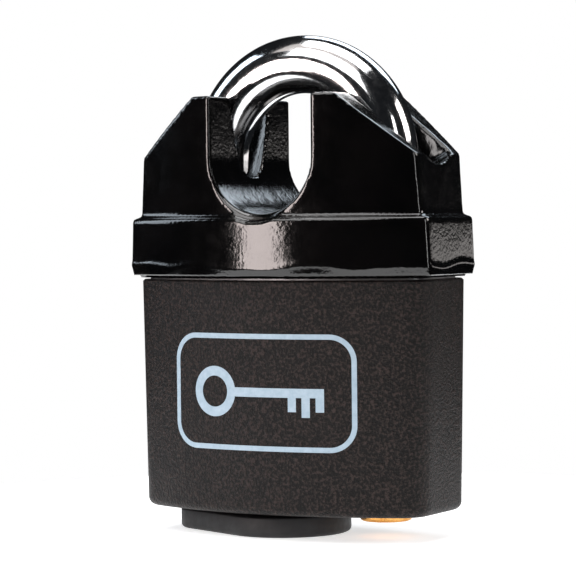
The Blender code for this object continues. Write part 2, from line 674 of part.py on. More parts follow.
def make_rivet():
    profile = [(RIVET_HEAD_RADIUS - 0.5, RIVET_HEAD_BOTTOM), (RIVET_HEAD_RADIUS, RIVET_HEAD_BOTTOM + 0.5)]
    profile += [(RIVET_HEAD_RADIUS, RIVET_HEAD_TOP), (RIVET_RADIUS, RIVET_HEAD_TOP), (RIVET_RADIUS, RIVET_TOP)]
    return finished(turned("cover_rivet", profile, (PIVOT_X, 0), 20), "steel")


def make_washer():
    bottom = COVER_THICKNESS + GAP
    washer = rod("cover_washer", WASHER_RADIUS, bottom, bottom + WASHER_THICKNESS, (PIVOT_X, 0), 20)
    combine(washer, rod("eye", RIVET_RADIUS + GAP, bottom - 1, bottom + 2, (PIVOT_X, 0), 20))
    return finished(washer, "steel")


def main():
    clear_scene()
    make_jacket()
    make_core()
    make_guard()
    make_shackle()
    make_spring()
    make_balls()
    make_cam()
    make_shell()
    make_rotor()
    make_front_plate()
    make_discs()
    make_sidebar()
    make_clip()
    make_guard_screws()
    make_grub_screw()
    make_heel_plug()
    make_cover()
    make_rivet()
    make_washer()


main()
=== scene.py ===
"""The looks of a shrouded block padlock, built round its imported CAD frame.

Lengths are in millimetres until a mesh is made. Sizes and places come from the frame;
the few that a box can't give (radii, slopes) repeat the CAD's driving dimensions.
"""
import json
import math

import bmesh
import bpy
import numpy as np
from mathutils import Matrix, Vector, noise


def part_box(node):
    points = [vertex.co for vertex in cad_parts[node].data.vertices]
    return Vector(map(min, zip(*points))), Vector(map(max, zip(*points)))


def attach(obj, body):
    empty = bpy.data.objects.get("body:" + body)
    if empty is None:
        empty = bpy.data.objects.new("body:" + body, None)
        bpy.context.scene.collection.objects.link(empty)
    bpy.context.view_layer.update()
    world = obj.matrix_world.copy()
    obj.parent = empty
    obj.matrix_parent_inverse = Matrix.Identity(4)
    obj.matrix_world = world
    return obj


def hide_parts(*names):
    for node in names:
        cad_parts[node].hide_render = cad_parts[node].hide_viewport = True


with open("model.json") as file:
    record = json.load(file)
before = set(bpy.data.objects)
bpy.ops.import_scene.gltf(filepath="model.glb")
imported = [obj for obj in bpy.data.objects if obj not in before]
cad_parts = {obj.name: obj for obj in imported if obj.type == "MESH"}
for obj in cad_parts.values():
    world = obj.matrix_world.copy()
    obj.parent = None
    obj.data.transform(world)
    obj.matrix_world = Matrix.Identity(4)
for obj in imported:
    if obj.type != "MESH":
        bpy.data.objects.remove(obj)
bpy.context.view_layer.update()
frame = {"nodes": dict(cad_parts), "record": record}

MM = 0.001
BODY = "lock_body"


def extent(node):
    """Lowest and highest corner of a CAD node, in millimetres."""
    low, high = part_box(node)
    return low / MM, high / MM


JACKET_LOW, JACKET_HIGH = extent("body_jacket")
GUARD_LOW, GUARD_HIGH = extent("shackle_guard")
CORE_HIGH = extent("lock_core")[1]
SHACKLE_LOW, SHACKLE_HIGH = extent("shackle")
COVER_LOW, COVER_HIGH = extent("keyway_cover")
PLUG_LOW, PLUG_HIGH = extent("heel_plug")
RIVET_LOW, RIVET_HIGH = extent("cover_rivet")
SCREW_LOW, SCREW_HIGH = extent("guard_screw_1")

GAP = 0.3
FACE_RADIUS = 64.35

# Body
BODY_HALF_WIDTH = JACKET_HIGH.x
BODY_TAPER = 1.1
BODY_HALF_DEPTH = JACKET_HIGH.y
BODY_CORNER = 5.5
BODY_EDGE = 1.5
WALL = 1.3
KEYWAY_HOLE_RADIUS = 6.5
CORE_CORNER = 3.9

# Guard
SKIRT_TOP = 59.7
SKIRT_DRAFT = 0.5
BLOCK_HALF_WIDTH = 30.05
BLOCK_HALF_WIDTH_CORNER = 29.25
BLOCK_HALF_DEPTH = 16.28
GUARD_CORNER = 1.2
SHOULDER_HEIGHT = 71.0
PLATEAU_HALF_WIDTH = 14.9
WINDOW_RADIUS = 10.7
WINDOW_BOTTOM = 60.35
WINDOW_FLARE = 1.5
SLOT_RADIUS = 6.7
SLOT_RADIUS_TOP = 8.2
SLOT_RAMP_START = 67.1
SLOT_RAMP_END = 79.1
SLOT_REACH = 18.0
SLOT_INWARD = 6.0
CUTTER_TOP = GUARD_HIGH.z + 8.0
SCREW_HOLE_RADIUS = 2.3
GUARD_VOXEL = 0.36
GUARD_SMOOTHING_ROUNDS = 4
WAVE_DEPTH = 0.018
LIP_HEIGHT = 2.6
LIP_BULGE = 0.13
LIP_CURL = 0.5

# Shackle
BAR_RADIUS = SHACKLE_HIGH.y
NECK_RADIUS = 4.5
LEG_PITCH = SHACKLE_HIGH.x - SHACKLE_LOW.x - 2 * BAR_RADIUS
HEEL_X = SHACKLE_HIGH.x - BAR_RADIUS
AXIS_X = HEEL_X - LEG_PITCH / 2
TOE_X = AXIS_X - LEG_PITCH / 2
ARCH_HEIGHT = SHACKLE_HIGH.z - LEG_PITCH / 2 - BAR_RADIUS
TOE_END = 46.0
COLLAR_HEIGHT = 2.3
BALL_HEIGHT = 51.3
BALL_LOCKED = 10.85
NOTCH_RADIUS = 3.8
SPRING_HOLE_RADIUS = 2.2
SPRING_HOLE_TOP = 30.0

# Cover
COVER_RADIUS = COVER_HIGH.y
COVER_X = COVER_HIGH.x - COVER_RADIUS
PIVOT_X = (RIVET_LOW.x + RIVET_HIGH.x) / 2
PIVOT_RADIUS = PIVOT_X - COVER_LOW.x
RIVET_RADIUS = 1.5
RIVET_HEAD_RADIUS = (RIVET_HIGH.x - RIVET_LOW.x) / 2
RIVET_HEAD_TOP = 1.6

# Emblem on the front face
EMBLEM_X = -0.1
EMBLEM_Z = 27.5
EMBLEM_HALF_WIDTH = 19.2
EMBLEM_HALF_HEIGHT = 10.8
EMBLEM_CORNER = 5.0
INK = 0.03


# ---------------------------------------------------------------- mesh helpers

def solid(name, shape):
    """Turn a bmesh in millimetres into an object in metres, its faces pointing out."""
    bmesh.ops.recalc_face_normals(shape, faces=shape.faces)
    bmesh.ops.scale(shape, vec=(MM, MM, MM), verts=shape.verts)
    mesh = bpy.data.meshes.new(name)
    shape.to_mesh(mesh)
    shape.free()
    made = bpy.data.objects.new(name, mesh)
    bpy.context.scene.collection.objects.link(made)
    return made


def settle(thing):
    """Apply an object's modifiers."""
    graph = bpy.context.evaluated_depsgraph_get()
    mesh = bpy.data.meshes.new_from_object(thing.evaluated_get(graph))
    thing.modifiers.clear()
    thing.data = mesh
    return thing


def carve(target, tool):
    step = target.modifiers.new("carve", "BOOLEAN")
    step.operation = "DIFFERENCE"
    step.solver = "EXACT"
    step.object = tool
    settle(target)
    bpy.data.objects.remove(tool, do_unlink=True)
    return target


def remeshed(thing, voxel, rounds):
    """Even fine mesh, its edges rounded by smoothing."""
    step = thing.modifiers.new("even", "REMESH")
    step.mode = "VOXEL"
    step.voxel_size = voxel * MM
    ease = thing.modifiers.new("ease", "SMOOTH")
    ease.factor = 0.5
    ease.iterations = rounds
    return settle(thing)


def loft(rings):
    shape = bmesh.new()
    loops = [[shape.verts.new(point) for point in ring] for ring in rings]
    count = len(loops[0])
    for lower, upper in zip(loops, loops[1:]):
        for i in range(count):
            j = (i + 1) % count
            shape.faces.new((lower[i], lower[j], upper[j], upper[i]))
    shape.faces.new(list(reversed(loops[0])))
    shape.faces.new(loops[-1])
    return shape


def circle(radius, height, centre=(0.0, 0.0), count=64):
    turns = [2 * math.pi * k / count for k in range(count)]
    return [(centre[0] + radius * math.cos(a), centre[1] + radius * math.sin(a), height) for a in turns]


def turned(name, profile, centre=(0.0, 0.0), count=64):
    return solid(name, loft([circle(r, z, centre, count) for r, z in profile]))


def rod(name, radius, bottom, top, centre=(0.0, 0.0), count=64):
    return turned(name, [(radius, bottom), (radius, top)], centre, count)


def lens(half_width, half_depth, corner, height, face_steps=40, corner_steps=8):
    """Plan outline: a bowed front and back, flat sides, filleted corners."""
    arc_centre = FACE_RADIUS - half_depth
    fillet_y = arc_centre - math.sqrt((FACE_RADIUS - corner) ** 2 - (half_width - corner) ** 2)
    meet = math.asin((half_width - corner) / (FACE_RADIUS - corner))
    quarter = []
    for k in range(face_steps + 1):
        a = meet * k / face_steps
        quarter.append((FACE_RADIUS * math.sin(a), arc_centre - FACE_RADIUS * math.cos(a)))
    for k in range(1, corner_steps + 1):
        a = meet + (math.pi / 2 - meet) * k / corner_steps
        quarter.append((half_width - corner + corner * math.sin(a), fillet_y - corner * math.cos(a)))
    right = quarter + [(x, -y) for x, y in reversed(quarter)]
    left = [(-x, y) for x, y in reversed(right[1:-1])]
    return [(x, y, height) for x, y in right + left]


def lens_depth(x, half_depth):
    """How far the bowed front stands out at x."""
    return half_depth - FACE_RADIUS + math.sqrt(FACE_RADIUS ** 2 - x * x)


def smooth(thing, degrees=40.0):
    thing.data.shade_smooth()
    thing.data.set_sharp_from_angle(angle=math.radians(degrees))
    return thing


def dress(thing, material, slot, body, *nodes):
    """Finish a piece: its material, its body and the CAD nodes it stands for. The slot argument is not
    used.
    """
    thing.data.materials.clear()
    thing.data.materials.append(material)
    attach(thing, body)
    if nodes:
        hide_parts(*nodes)
    return thing


# ---------------------------------------------------------------- materials

class Surface:
    """A Principled material with procedural detail in the object's own coordinates, in metres."""

    def __init__(self, name, **sockets):
        self.material = bpy.data.materials.new(name)
        self.material.use_nodes = True
        self.tree = self.material.node_tree
        self.shader = self.tree.nodes["Principled BSDF"]
        self.coords = self.add("ShaderNodeTexCoord").outputs["Object"]
        for socket, value in sockets.items():
            self.shader.inputs[socket.replace("_", " ").title().replace("Ior", "IOR")].default_value = value

    def add(self, kind, **settings):
        made = self.tree.nodes.new(kind)
        for key, value in settings.items():
            setattr(made, key, value)
        return made

    def link(self, source, target):
        self.tree.links.new(source, target)

    def stretched(self, scale):
        """The coordinates scaled unevenly, for streaks and brushing."""
        mapping = self.add("ShaderNodeMapping")
        mapping.inputs["Scale"].default_value = scale
        self.link(self.coords, mapping.inputs["Vector"])
        return mapping.outputs["Vector"]

    def noise(self, scale, detail=3.0, rough=0.5, distortion=0.0, coords=None):
        made = self.add("ShaderNodeTexNoise")
        made.inputs["Scale"].default_value = scale
        made.inputs["Detail"].default_value = detail
        made.inputs["Roughness"].default_value = rough
        made.inputs["Distortion"].default_value = distortion
        self.link(coords or self.coords, made.inputs["Vector"])
        return made.outputs["Fac"]

    def spread(self, source, low, high, start=0.3, end=0.7):
        """Map a pattern's middle range to low..high."""
        made = self.add("ShaderNodeMapRange")
        made.inputs["From Min"].default_value = start
        made.inputs["From Max"].default_value = end
        made.inputs["To Min"].default_value = low
        made.inputs["To Max"].default_value = high
        self.link(source, made.inputs["Value"])
        return made.outputs["Result"]

    def blend(self, share, first, second):
        made = self.add("ShaderNodeMix", data_type="RGBA")
        made.inputs[6].default_value = (*first, 1.0)
        made.inputs[7].default_value = (*second, 1.0)
        self.link(share, made.inputs[0])
        return made.outputs[2]

    def colour(self, share, first, second):
        self.link(self.blend(share, first, second), self.shader.inputs["Base Color"])

    def roughness(self, share):
        self.link(share, self.shader.inputs["Roughness"])

    def bumps(self, *layers):
        """Stack of (height, strength, depth in metres) bumps."""
        normal = None
        for height, strength, depth in layers:
            made = self.add("ShaderNodeBump")
            made.inputs["Strength"].default_value = strength
            made.inputs["Distance"].default_value = depth
            self.link(height, made.inputs["Height"])
            if normal:
                self.link(normal, made.inputs["Normal"])
            normal = made.outputs["Normal"]
        self.link(normal, self.shader.inputs["Normal"])


def guard_paint():
    """Glossy black paint that lies over a rough casting."""
    made = Surface("guard_paint", specular_ior_level=0.45, coat_weight=0.5, coat_roughness=0.05)
    patches = made.noise(90.0, 4.0)
    made.colour(made.spread(patches, 0, 1), (0.0008, 0.0008, 0.0009), (0.0028, 0.0024, 0.0024))
    made.roughness(made.spread(made.noise(420.0, 4.0, 0.6), 0.08, 0.17))
    peel = made.noise(1500.0, 2.0, 0.5)
    grit = made.noise(520.0, 3.0, 0.55)
    made.bumps((grit, 0.14, 0.00014), (peel, 0.32, 0.00008))
    made.link(made.shader.inputs["Normal"].links[0].from_socket, made.shader.inputs["Coat Normal"])
    return made.material


def jacket_plastic():
    """Satin black-brown moulding with a fine spark-eroded grain."""
    made = Surface("jacket_plastic", specular_ior_level=0.2)
    patches = made.noise(60.0, 5.0, 0.6)
    grain = made.noise(1900.0, 3.0, 0.65)
    made.colour(made.spread(grain, 0, 1, 0.47, 0.66), (0.001, 0.0008, 0.0008), (0.036, 0.024, 0.021))
    made.roughness(made.spread(patches, 0.34, 0.44))
    made.bumps((made.noise(500.0, 3.0), 0.10, 0.0002), (grain, 1.0, 0.0004))
    return made.material


def cover_plastic():
    made = Surface("cover_plastic", specular_ior_level=0.4)
    made.colour(made.spread(made.noise(150.0, 4.0), 0, 1), (0.010, 0.010, 0.011), (0.022, 0.021, 0.022))
    made.roughness(made.spread(made.noise(700.0, 3.0), 0.45, 0.62))
    made.bumps((made.noise(2600.0, 2.0), 0.35, 0.00008))
    return made.material


def chrome():
    """Bright plate with faint polishing lines, a slight ripple and small specks."""
    made = Surface("chrome_plate", metallic=1.0)
    made.colour(made.spread(made.noise(220.0, 4.0), 0, 1), (0.80, 0.81, 0.83), (0.90, 0.90, 0.91))
    made.roughness(made.spread(made.noise(900.0, 5.0, 0.65), 0.07, 0.15))
    lines = made.noise(400.0, 4.0, 0.6, coords=made.stretched((1.0, 9.0, 1.0)))
    made.bumps((made.noise(180.0, 3.0), 0.12, 0.0003), (lines, 0.05, 0.0001))
    return made.material


def metal(name, dark, light, low, high, scale=600.0, streak=(1.0, 1.0, 12.0), strength=0.15):
    """Machined or drawn metal with streaks along one direction."""
    made = Surface(name, metallic=1.0)
    streaks = made.noise(scale, 4.0, 0.6, coords=made.stretched(streak))
    made.colour(made.spread(made.noise(scale * 0.3, 4.0), 0, 1), dark, light)
    made.roughness(made.spread(streaks, low, high))
    made.bumps((streaks, strength, 0.00008))
    return made.material


def plug_brass():
    """Turned brass end with fine concentric tool rings."""
    made = Surface("plug_brass", metallic=1.0)
    made.colour(made.spread(made.noise(500.0, 4.0), 0, 1), (0.62, 0.27, 0.06), (0.92, 0.50, 0.16))
    made.roughness(made.spread(made.noise(1200.0, 4.0), 0.2, 0.38))
    made.bumps((made.noise(900.0, 4.0, coords=made.stretched((1.0, 1.0, 8.0))), 0.2, 0.0001))
    return made.material


def ink():
    """Pad-printed ink, slightly uneven."""
    made = Surface("print_ink", specular_ior_level=0.35)
    made.colour(made.spread(made.noise(900.0, 5.0, 0.65), 0, 1), (0.30, 0.41, 0.50), (0.40, 0.51, 0.60))
    made.roughness(made.spread(made.noise(500.0, 3.0), 0.45, 0.6))
    made.bumps((made.noise(3600.0, 2.0, 0.6), 0.4, 0.00008))
    return made.material


# ---------------------------------------------------------------- jacket

def jacket_half_width(height):
    share = (height - JACKET_LOW.z) / (JACKET_HIGH.z - JACKET_LOW.z)
    return BODY_HALF_WIDTH - BODY_TAPER * (1 - min(share, 1.0))


def make_jacket(material):
    rings = []
    edge_steps = 12
    for k in range(edge_steps):
        a = math.pi / 2 * k / edge_steps
        tuck = BODY_EDGE * (1 - math.sin(a))
        height = JACKET_LOW.z + BODY_EDGE * (1 - math.cos(a))
        half = jacket_half_width(height) - tuck
        rings.append(lens(half, BODY_HALF_DEPTH - tuck, BODY_CORNER - tuck * 0.5, height))
    rows = 14
    lip = 0.35
    for k in range(rows + 1):
        height = JACKET_LOW.z + BODY_EDGE + (JACKET_HIGH.z - lip - JACKET_LOW.z - BODY_EDGE) * k / rows
        rings.append(lens(jacket_half_width(height), BODY_HALF_DEPTH, BODY_CORNER, height))
    rings.append(lens(BODY_HALF_WIDTH - lip, BODY_HALF_DEPTH - lip, BODY_CORNER, JACKET_HIGH.z))
    jacket = solid("jacket", loft(rings))
    hollow = []
    for height in (JACKET_LOW.z + WALL - 0.1, JACKET_HIGH.z + 5):
        half = jacket_half_width(height) - WALL
        hollow.append(lens(half, BODY_HALF_DEPTH - WALL, BODY_CORNER - WALL, height))
    carve(jacket, solid("hollow", loft(hollow)))
    plug_x = (PLUG_LOW.x + PLUG_HIGH.x) / 2
    holes = ((AXIS_X, KEYWAY_HOLE_RADIUS), (plug_x, PLUG_HIGH.y + GAP), (PIVOT_X, RIVET_RADIUS + GAP))
    for x, radius in holes:
        carve(jacket, rod("hole", radius, JACKET_LOW.z - 2, JACKET_LOW.z + 4, (x, 0)))
    dress(smooth(jacket), material, "jacket_plastic", BODY, "body_jacket")


# ---------------------------------------------------------------- guard

def guard_rings():
    step = 0.7
    half, depth = GUARD_HIGH.x, GUARD_HIGH.y
    top = half - SKIRT_DRAFT
    rows = [(half, depth, GUARD_LOW.z), (top, depth, SKIRT_TOP - step)]
    rows += [(top - step * 0.3, depth - step * 0.3, SKIRT_TOP - step * 0.3)]
    rows += [(top - step, depth - step, SKIRT_TOP)]
    rows += [(BLOCK_HALF_WIDTH, BLOCK_HALF_DEPTH, SKIRT_TOP + 0.2)]
    rows += [(BLOCK_HALF_WIDTH_CORNER, BLOCK_HALF_DEPTH, SHOULDER_HEIGHT)]
    rows += [(BLOCK_HALF_WIDTH_CORNER, BLOCK_HALF_DEPTH, GUARD_HIGH.z)]
    return [lens(w, d, GUARD_CORNER, z) for w, d, z in rows]


def slope_cutter(side):
    fall = (GUARD_HIGH.z - SHOULDER_HEIGHT) / (BLOCK_HALF_WIDTH_CORNER - PLATEAU_HALF_WIDTH)
    reach = 45.0
    low = GUARD_HIGH.z - fall * (reach - PLATEAU_HALF_WIDTH)
    start, start_height = PLATEAU_HALF_WIDTH - 2.0, GUARD_HIGH.z + 2.0 * fall
    outline = [(start, start_height), (reach, low), (reach, start_height)]
    rings = [[(side * x, y, z) for x, z in outline] for y in (-30.0, 30.0)]
    return solid("slope", loft(rings))


def window_cutter():
    centre = WINDOW_BOTTOM + WINDOW_RADIUS
    steps = 48
    stations = [(-30.0, 1.0), (-BLOCK_HALF_DEPTH, 1.0)]
    flare_steps = 6
    for k in range(1, flare_steps + 1):
        a = math.pi / 2 * k / flare_steps
        stations.append((-BLOCK_HALF_DEPTH + WINDOW_FLARE * (1 - math.cos(a)), 1 - math.sin(a)))
    stations += [(-y, f) for y, f in reversed(stations)]
    rings = []
    for y, flare in stations:
        radius = WINDOW_RADIUS + WINDOW_FLARE * flare
        ring = [(radius, y, CUTTER_TOP)]
        for k in range(steps + 1):
            a = math.pi * k / steps
            ring.append((radius * math.cos(a), y, centre - radius * math.sin(a)))
        ring.append((-radius, y, CUTTER_TOP))
        rings.append(ring)
    return solid("window", loft(rings))


def slot_cutter(leg_x, side):
    """Ramped slot that lets the arch down into an ear and runs out through its side."""
    rings = [circle(SLOT_RADIUS, SLOT_RAMP_START, (leg_x, 0))]
    rings += [circle(SLOT_RADIUS + 0.3, SLOT_RAMP_END, (leg_x + side * SLOT_REACH, 0))]
    for reach in (-SLOT_INWARD, SLOT_REACH):
        rings.append(circle(SLOT_RADIUS_TOP, CUTTER_TOP, (leg_x + side * reach, 0)))
    shape = bmesh.new()
    for point in [p for ring in rings for p in ring]:
        shape.verts.new(point)
    bmesh.ops.convex_hull(shape, input=shape.verts)
    bmesh.ops.delete(shape, geom=[v for v in shape.verts if not v.link_faces], context="VERTS")
    return solid("slot", shape)


def roughen_casting(thing):
    """Press the casting's waviness and the skirt's uneven lip into the mesh."""
    mesh = thing.data
    count = len(mesh.vertices)
    place, normal = np.zeros(count * 3), np.zeros(count * 3)
    mesh.vertices.foreach_get("co", place)
    mesh.vertices.foreach_get("normal", normal)
    place, normal = place.reshape(-1, 3) / MM, normal.reshape(-1, 3)
    push = np.zeros(count)
    for i, (x, y, z) in enumerate(place):
        wave = noise.noise(Vector((x, y, z)) * 0.16) + 0.5 * noise.noise(Vector((x, y, z)) * 0.45)
        push[i] = WAVE_DEPTH * wave
        rise = z - GUARD_LOW.z
        outside = abs(x) > GUARD_HIGH.x - 2.0 or abs(y) > lens_depth(x, GUARD_HIGH.y) - 1.6
        if rise < LIP_HEIGHT + 1.5 and outside:
            edge = LIP_HEIGHT * (0.9 + 0.5 * noise.noise(Vector((x * 0.10, y * 0.10, 4.0))))
            under = max(0.0, 1 - rise / edge)
            push[i] += LIP_BULGE * math.exp(-((rise - edge) / 0.6) ** 2) - LIP_CURL * under ** 1.5
    place += normal * push[:, None]
    mesh.vertices.foreach_set("co", (place * MM).ravel())
    mesh.update()


def screw_places():
    across = AXIS_X - (SCREW_LOW.x + SCREW_HIGH.x) / 2
    deep = -(SCREW_LOW.y + SCREW_HIGH.y) / 2
    return [(AXIS_X + sx * across, sy * deep) for sx in (-1, 1) for sy in (-1, 1)]


def make_guard(material):
    guard = solid("guard", loft(guard_rings()))
    heights = (GUARD_LOW.z - 2, CORE_HIGH.z + GAP)
    cavity = [lens(CORE_HIGH.x + GAP, CORE_HIGH.y + GAP, CORE_CORNER, z) for z in heights]
    carve(guard, solid("cavity", loft(cavity)))
    carve(guard, window_cutter())
    for side, leg in ((-1, TOE_X), (1, HEEL_X)):
        carve(guard, slope_cutter(side))
        carve(guard, rod("leg_bore", SLOT_RADIUS, CORE_HIGH.z - 2, SLOT_RAMP_START + 1, (leg, 0)))
        carve(guard, slot_cutter(leg, side))
    for place in screw_places():
        carve(guard, rod("hole", SCREW_HOLE_RADIUS, CORE_HIGH.z - 2, SCREW_HIGH.z + GAP, place, 32))
    remeshed(guard, GUARD_VOXEL, GUARD_SMOOTHING_ROUNDS)
    roughen_casting(guard)
    guard.data.shade_smooth()
    dress(guard, material, "guard_paint", BODY, "shackle_guard")


# ---------------------------------------------------------------- shackle

def shackle_rings(count=72):
    heel_end = SHACKLE_LOW.z
    collar = heel_end + COLLAR_HEIGHT
    heel = [(BAR_RADIUS - 0.5, heel_end), (BAR_RADIUS, heel_end + 0.5), (BAR_RADIUS, collar - 0.4)]
    heel += [(BAR_RADIUS - 0.4, collar), (NECK_RADIUS, collar + 0.01)]
    heel += [(NECK_RADIUS, BALL_HEIGHT), (BAR_RADIUS, BALL_HEIGHT + 1.0)]
    rings = [circle(r, z, (HEEL_X, 0), count) for r, z in heel]
    arch_steps = 96
    for k in range(arch_steps + 1):
        a = math.pi * k / arch_steps
        ring = []
        for m in range(count):
            b = 2 * math.pi * m / count
            reach = LEG_PITCH / 2 + BAR_RADIUS * math.cos(b)
            x, z = AXIS_X + reach * math.cos(a), ARCH_HEIGHT + reach * math.sin(a)
            ring.append((x, BAR_RADIUS * math.sin(b), z))
        rings.append(ring)
    toe = ((BAR_RADIUS, TOE_END + 1.0), (BAR_RADIUS - 0.35, TOE_END + 0.3), (BAR_RADIUS - 1.0, TOE_END))
    for r, z in toe:
        rings.append([(TOE_X - x, y, height) for x, y, height in circle(r, z, (0, 0), count)])
    return rings


def make_shackle(material):
    shackle = solid("shackle_bar", loft(shackle_rings()))
    for side in (-1, 1):
        shape = bmesh.new()
        place = Matrix.Translation((AXIS_X + side * BALL_LOCKED, 0.0, BALL_HEIGHT))
        bmesh.ops.create_uvsphere(shape, u_segments=48, v_segments=24, radius=NOTCH_RADIUS, matrix=place)
        carve(shackle, solid("notch", shape))
    groove_low = SHACKLE_LOW.z + COLLAR_HEIGHT - 0.4
    carve(shackle, rod("groove", NOTCH_RADIUS, groove_low, BALL_HEIGHT, (AXIS_X + BALL_LOCKED, 0)))
    carve(shackle, rod("bore", SPRING_HOLE_RADIUS, SHACKLE_LOW.z - 1, SPRING_HOLE_TOP, (HEEL_X, 0)))
    dress(smooth(shackle, 30.0), material, "chrome", "shackle_body", "shackle")


# ---------------------------------------------------------------- underside

def teardrop(grow, height):
    large, small = COVER_RADIUS + grow, PIVOT_RADIUS + grow
    lean = math.acos((large - small) / (COVER_X - PIVOT_X))
    big_steps, small_steps = 90, 36
    ring = []
    for k in range(big_steps + 1):
        a = -(math.pi - lean) + 2 * (math.pi - lean) * k / big_steps
        ring.append((COVER_X + large * math.cos(a), large * math.sin(a), height))
    for k in range(small_steps + 1):
        a = math.pi - lean + 2 * lean * k / small_steps
        ring.append((PIVOT_X + small * math.cos(a), small * math.sin(a), height))
    return ring


def make_cover(material):
    edge, steps = 0.9, 8
    rings = []
    for k in range(steps):
        a = math.pi / 2 * k / steps
        rings.append(teardrop(-edge * (1 - math.sin(a)), edge * (1 - math.cos(a))))
    top = COVER_HIGH.z
    rings += [teardrop(0.0, edge), teardrop(0.0, top - 0.3), teardrop(-0.1, top - 0.1), teardrop(-0.3, top)]
    cover = solid("cover", loft(rings))
    carve(cover, rod("hole", RIVET_RADIUS + GAP, -1.0, top + 1, (PIVOT_X, 0)))
    carve(cover, rod("seat", RIVET_HEAD_RADIUS + GAP, -1.0, RIVET_HEAD_TOP + GAP, (PIVOT_X, 0)))
    dress(smooth(cover), material, "cover_plastic", "cover_body", "keyway_cover")


def make_plug(material):
    """Brass plug with a domed edge and a shallow turned centre."""
    middle = (PLUG_LOW.x + PLUG_HIGH.x) / 2
    radius, low, high = PLUG_HIGH.y, PLUG_LOW.z, PLUG_HIGH.z
    profile = [(0.35, low + 0.45), (0.8, low + 0.15), (radius * 0.55, low + 0.05), (radius - 0.9, low)]
    for k in range(1, 7):
        a = math.pi / 2 * k / 6
        profile.append((radius - 0.6 + 0.6 * math.sin(a), low + 0.6 * (1 - math.cos(a))))
    profile.append((radius, high))
    plug = turned("plug", profile, (middle, 0), 96)
    dress(smooth(plug), material, "brass", BODY, "heel_plug")


def make_rivet(material):
    head, low = RIVET_HEAD_RADIUS, RIVET_LOW.z
    profile = [(head - 1.6, low), (head - 0.9, low + 0.06), (head - 0.35, low + 0.22)]
    profile += [(head - 0.08, low + 0.5), (head, low + 0.8), (head, RIVET_HEAD_TOP)]
    profile += [(RIVET_RADIUS, RIVET_HEAD_TOP + 0.01), (RIVET_RADIUS, RIVET_HIGH.z)]
    rivet = turned("rivet", profile, (PIVOT_X, 0), 64)
    dress(smooth(rivet), material, "zinc_plated", BODY, "cover_rivet")


# ---------------------------------------------------------------- emblem

def rounded_frame(half_width, half_height, corner, steps=14, side=26):
    """Closed outline of a rounded rectangle, with points along its sides too."""
    points = []
    corners = [(1, -1, -90), (1, 1, 0), (-1, 1, 90), (-1, -1, 180)]
    for k, (sx, sz, start) in enumerate(corners):
        centre = (sx * (half_width - corner), sz * (half_height - corner))
        for m in range(steps + 1):
            a = math.radians(start + 90 * m / steps)
            points.append((centre[0] + corner * math.cos(a), centre[1] + corner * math.sin(a)))
        nx, nz, turn = corners[(k + 1) % 4]
        a = math.radians(turn)
        goal_x = nx * (half_width - corner) + corner * math.cos(a)
        goal_z = nz * (half_height - corner) + corner * math.sin(a)
        last = points[-1]
        for m in range(1, side):
            t = m / side
            points.append((last[0] + t * (goal_x - last[0]), last[1] + t * (goal_z - last[1])))
    return points


def ring_points(centre, radius, steps=72):
    turns = [2 * math.pi * k / steps for k in range(steps)]
    return [(centre[0] + radius * math.cos(a), centre[1] + radius * math.sin(a)) for a in turns]


def bar_edges(x0, x1, z0, z1, steps=30):
    across = [x0 + (x1 - x0) * k / steps for k in range(steps + 1)]
    return [(x, z0) for x in across], [(x, z1) for x in across]


def add_ribbon(shape, first, second, closed):
    """Strip of faces between two outlines, laid on the front face."""
    def laid(point):
        x, z = EMBLEM_X + point[0], EMBLEM_Z + point[1]
        return shape.verts.new((x, -lens_depth(x, BODY_HALF_DEPTH) - INK, z))
    one, two = [laid(p) for p in first], [laid(p) for p in second]
    for i in range(len(one) if closed else len(one) - 1):
        j = (i + 1) % len(one)
        shape.faces.new((one[i], one[j], two[j], two[i]))


def make_emblem(material):
    """A plain key pictogram in a rounded frame."""
    stroke = 0.95
    bow, bow_outer, bow_inner = (-9.6, 0.0), 4.7, 2.9
    shaft_half, shaft_end = 0.85, 13.2
    tooth_width = 1.6
    shape = bmesh.new()
    outer = rounded_frame(EMBLEM_HALF_WIDTH, EMBLEM_HALF_HEIGHT, EMBLEM_CORNER)
    inner = rounded_frame(EMBLEM_HALF_WIDTH - stroke, EMBLEM_HALF_HEIGHT - stroke, EMBLEM_CORNER - stroke)
    add_ribbon(shape, outer, inner, True)
    add_ribbon(shape, ring_points(bow, bow_outer), ring_points(bow, bow_inner), True)
    add_ribbon(shape, *bar_edges(bow[0] + bow_outer - 0.05, shaft_end, -shaft_half, shaft_half), False)
    for x, drop in ((6.2, 2.6), (8.9, 3.6), (11.6, 2.6)):
        add_ribbon(shape, *bar_edges(x, x + tooth_width, -shaft_half - drop, -shaft_half, 4), False)
    emblem = solid("emblem_print", shape)
    for face in emblem.data.polygons:
        if face.normal.y > 0:
            face.flip()
    body = emblem.modifiers.new("body", "SOLIDIFY")
    body.thickness = (INK - 0.01) * MM
    body.offset = -1.0
    settle(emblem)
    dress(smooth(emblem), material, "print_ink", BODY)


# ---------------------------------------------------------------- inner parts

